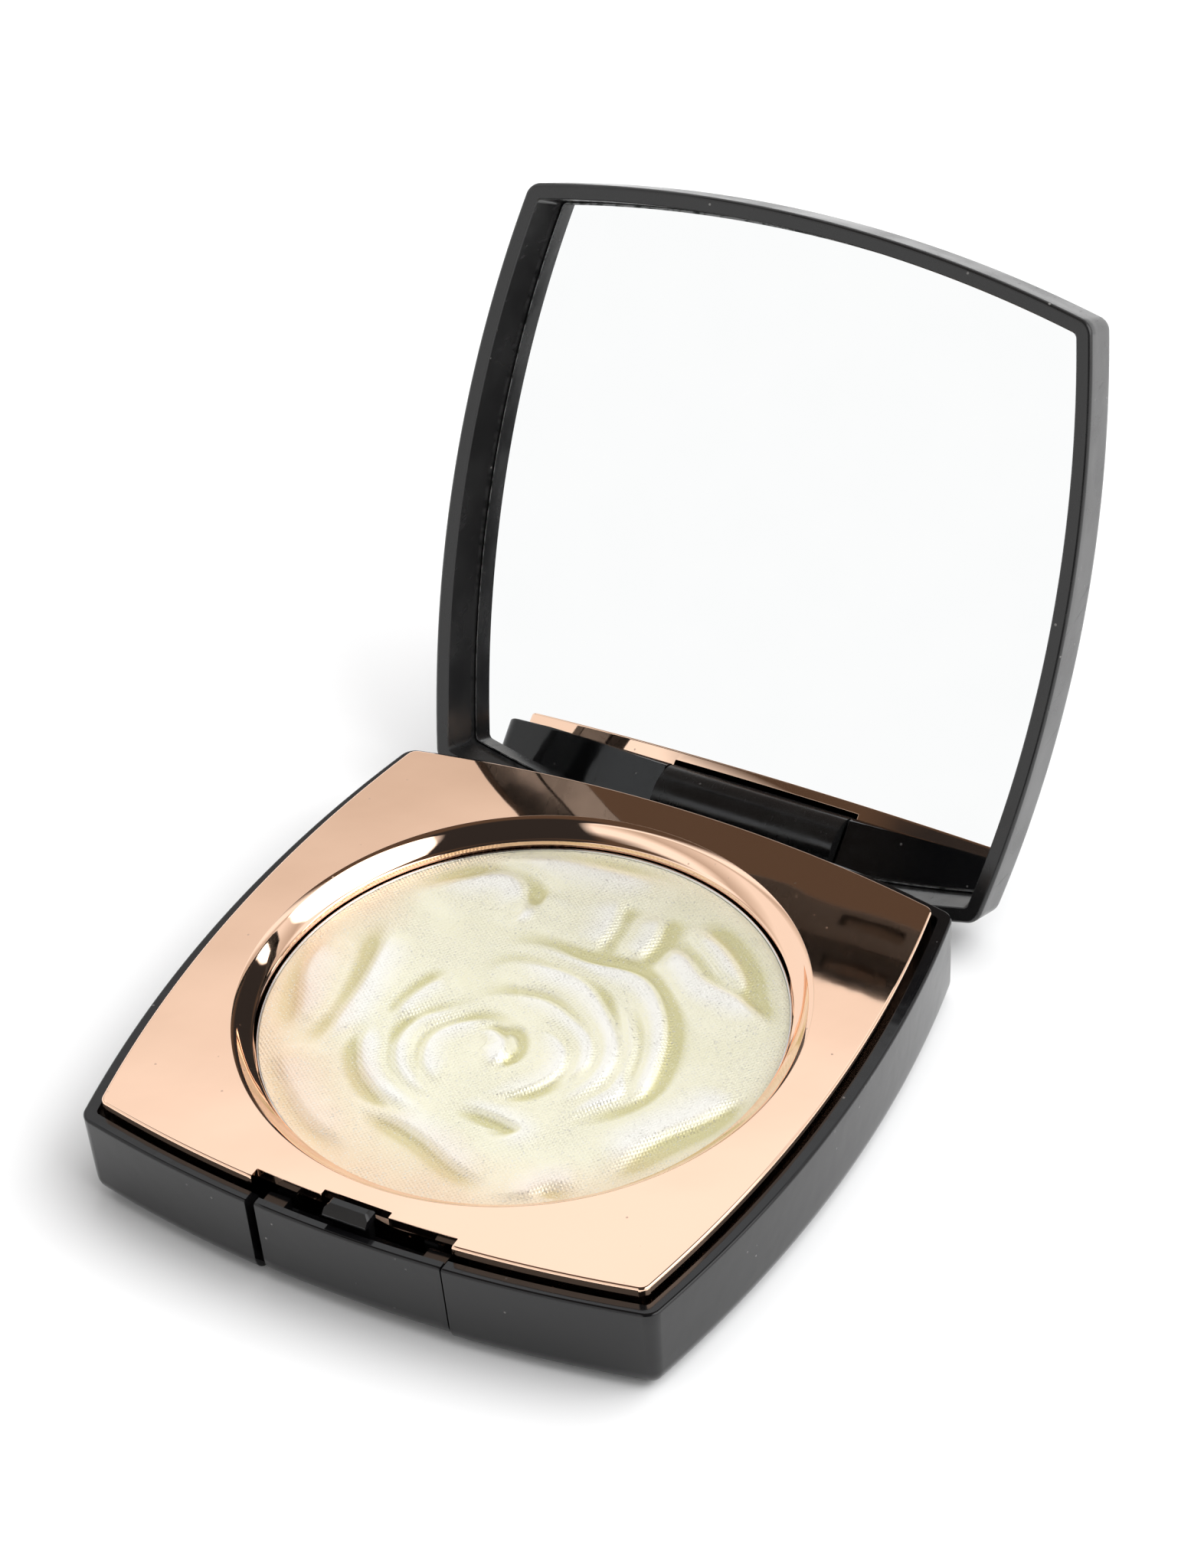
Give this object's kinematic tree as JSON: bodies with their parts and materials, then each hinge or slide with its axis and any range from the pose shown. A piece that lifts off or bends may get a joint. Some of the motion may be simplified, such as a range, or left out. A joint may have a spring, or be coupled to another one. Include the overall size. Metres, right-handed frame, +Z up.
{
  "type": "powder compact",
  "caption": "Square powder compact with bowed sides, rose-gold deck, round pan of embossed powder, push-button latch and a hinged mirror lid standing open.",
  "frame": {"origin": "middle of the underside, on the face of the label, level with the base's lower face", "axes": "+Z up, +X to the right of someone facing the latch button, -Y towards the latch, +Y towards the hinge"},
  "size_m": [0.078, 0.1169, 0.0705],
  "materials": {
    "black_plastic": "gloss black moulded plastic, satin on the rim faces",
    "latch_plastic": "gloss black moulded plastic",
    "rose_gold": "vacuum-metallised rose gold, mirror polished",
    "pan_metal": "bright pressed aluminium",
    "pressed_powder": "pressed pearl powder, embossed, fine shimmer",
    "pin_steel": "drawn steel",
    "mirror": "silvered glass",
    "adhesive": "double-sided adhesive",
    "label_paper": "blank printed film label"
  },
  "bodies": {
    "base": {"base_shell": "black_plastic", "bottom_label": "label_paper", "deck_plate": "rose_gold", "powder_pan": "pan_metal", "pan_glue_disc": "adhesive", "powder_cake": "pressed_powder", "latch_spring_left": "pin_steel", "latch_spring_right": "pin_steel", "hinge_pin_left": "pin_steel", "hinge_pin_right": "pin_steel"},
    "latch": {"latch_button": "latch_plastic"},
    "lid": {"lid_shell": "black_plastic", "mirror_glass": "mirror", "mirror_tape": "adhesive"}
  },
  "joints": [
    {"name": "lid_hinge", "type": "hinge", "parent": "base", "child": "lid", "pos_m": [0, 0.03532, 0.00716], "axis": [1, 0, 0], "range_deg": [0, 117.2]},
    {"name": "latch_slide", "type": "slide", "parent": "base", "child": "latch", "axis": [0, 1, 0], "range_m": [0, 0.0007], "stiffness_N_per_m": 4000, "springref_m": -0.0005, "deforming": ["latch_spring_left", "latch_spring_right"]}
  ]
}
